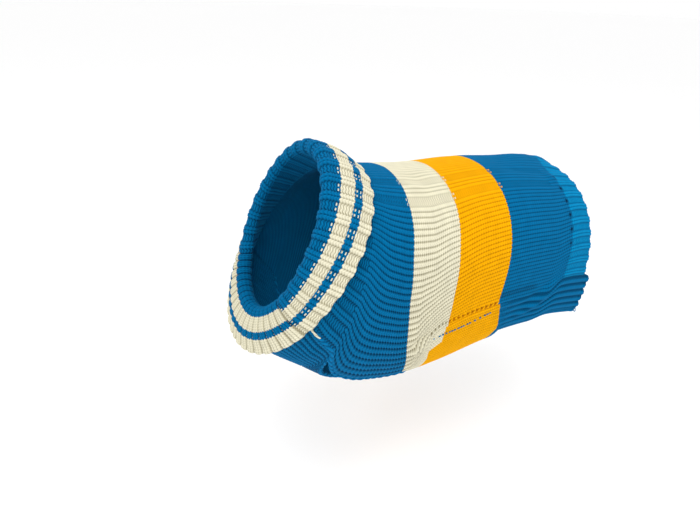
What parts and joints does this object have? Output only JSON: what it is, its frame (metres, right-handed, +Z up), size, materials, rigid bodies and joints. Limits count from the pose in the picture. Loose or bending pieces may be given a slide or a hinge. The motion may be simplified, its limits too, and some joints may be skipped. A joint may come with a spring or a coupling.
{
  "type": "dog sweater",
  "caption": "Knitted dog sweater with a folded ribbed collar, colour stripes, two leg holes and a ribbed hem, in its worn form.",
  "frame": {"origin": "on the inner face of the back panel, on the ridge of the back at mid length, where the wearer's back holds the sweater up", "axes": "+X to the wearer's left, -Y forward to the neck, +Z up"},
  "size_m": [0.1904, 0.3719, 0.2505],
  "materials": {
    "knit_blue": "soft matt acrylic knit",
    "knit_hem": "soft matt acrylic knit",
    "knit_cream": "soft matt acrylic knit",
    "knit_yellow": "soft matt acrylic knit"
  },
  "bodies": {
    "root": {"back_panel": "knit_blue", "belly_panel": "knit_blue", "hem_back": "knit_hem", "collar_back": "knit_cream", "collar_front": "knit_cream"}
  },
  "joints": []
}
